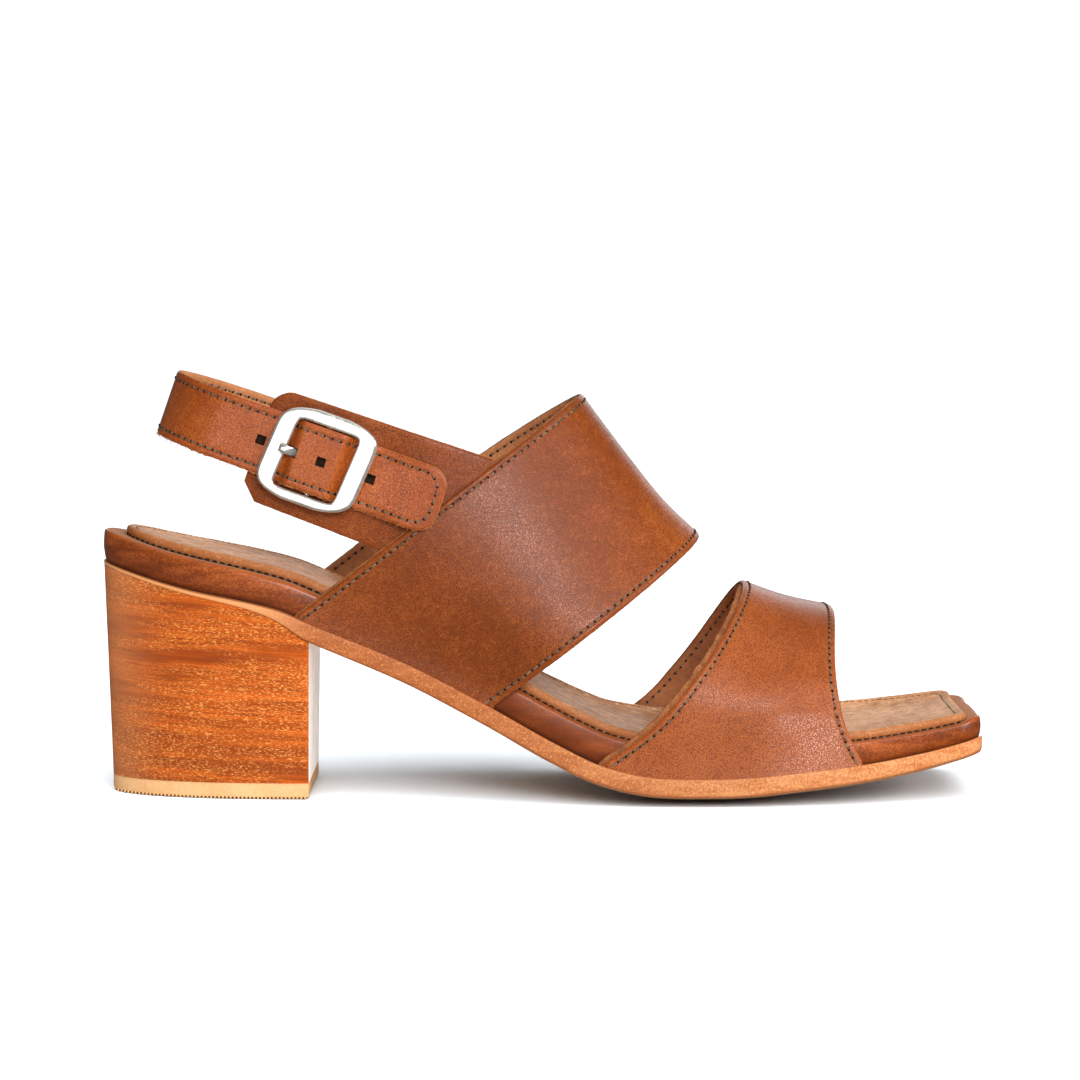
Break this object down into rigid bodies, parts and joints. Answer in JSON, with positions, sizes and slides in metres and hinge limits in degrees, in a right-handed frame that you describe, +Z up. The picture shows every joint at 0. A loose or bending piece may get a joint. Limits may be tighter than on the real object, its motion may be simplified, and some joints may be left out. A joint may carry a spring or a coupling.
{
  "type": "heeled sandal",
  "caption": "Open leather sandal, right shoe, with a square toe, broad toe and instep straps, a buckled heel strap and a block heel.",
  "frame": {"origin": "on the floor, under the middle of the shoe's length and width", "axes": "+X from heel to toe, +Y from the lateral side with the buckle to the medial side, +Z up"},
  "size_m": [0.2429, 0.083, 0.1166],
  "materials": {
    "outsole": "raw cut edge, honey tan",
    "heel": "stained stacked layers, satin",
    "top_lift": "matt, pale tan",
    "midsole": "smooth, dark cognac",
    "insole": "soft, creased, pale tan",
    "toe_strap": "fine grain, cognac",
    "instep_and_heel_strap": "fine grain, cognac",
    "buckle": "polished"
  },
  "bodies": {
    "root": {"outsole": "outsole", "heel": "heel", "top_lift": "top_lift", "midsole": "midsole", "insole": "insole", "toe_strap": "toe_strap", "instep_and_heel_strap": "instep_and_heel_strap", "buckle_frame": "buckle", "buckle_prong": "buckle"}
  },
  "joints": []
}
